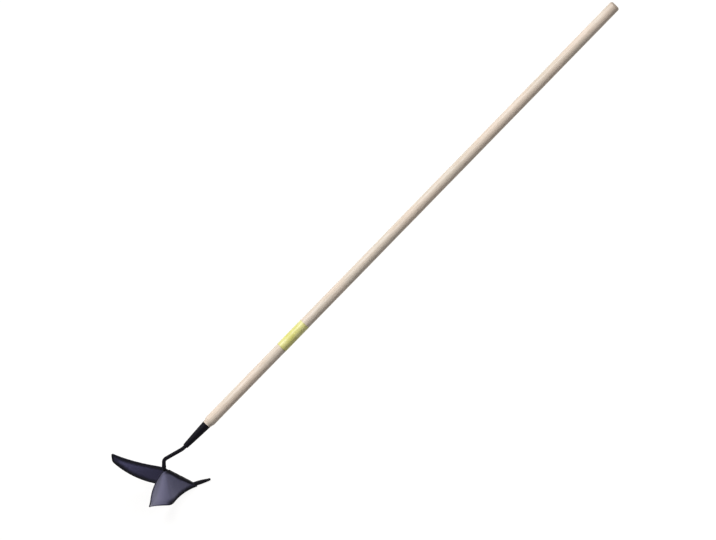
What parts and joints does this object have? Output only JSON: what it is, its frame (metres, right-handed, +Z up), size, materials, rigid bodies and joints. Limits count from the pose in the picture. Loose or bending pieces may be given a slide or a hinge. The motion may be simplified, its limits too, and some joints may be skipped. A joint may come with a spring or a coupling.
{
  "type": "ridging hoe",
  "caption": "Pull-type ridging hoe: long ash shaft in a steel ferrule, forged swan neck, and two flared steel mouldboards behind a forged share point.",
  "frame": {"origin": "middle of the share point's flat underside, the face that runs on the ground", "axes": "+X is the way the hoe is pulled, level, from the head towards the handle's end; +Y is to the left of that; +Z is up in the working pose, with the handle rising at 38 degrees"},
  "size_m": [1.3661, 0.22, 1.0852],
  "materials": {
    "ash": "turned and sanded pale ash, clear sealed, satin",
    "label_film": "yellow adhesive film, satin, bare",
    "black_paint": "near-black baked paint on steel, satin",
    "board_paint": "dark blue-grey paint on pressed steel, satin"
  },
  "bodies": {
    "root": {"handle": "ash", "label": "label_film", "ferrule": "black_paint", "ferrule_pin": "black_paint", "shank": "black_paint", "share_point": "black_paint", "mouldboard_left": "board_paint", "mouldboard_right": "board_paint", "weld_left": "black_paint", "weld_right": "black_paint"}
  },
  "joints": []
}
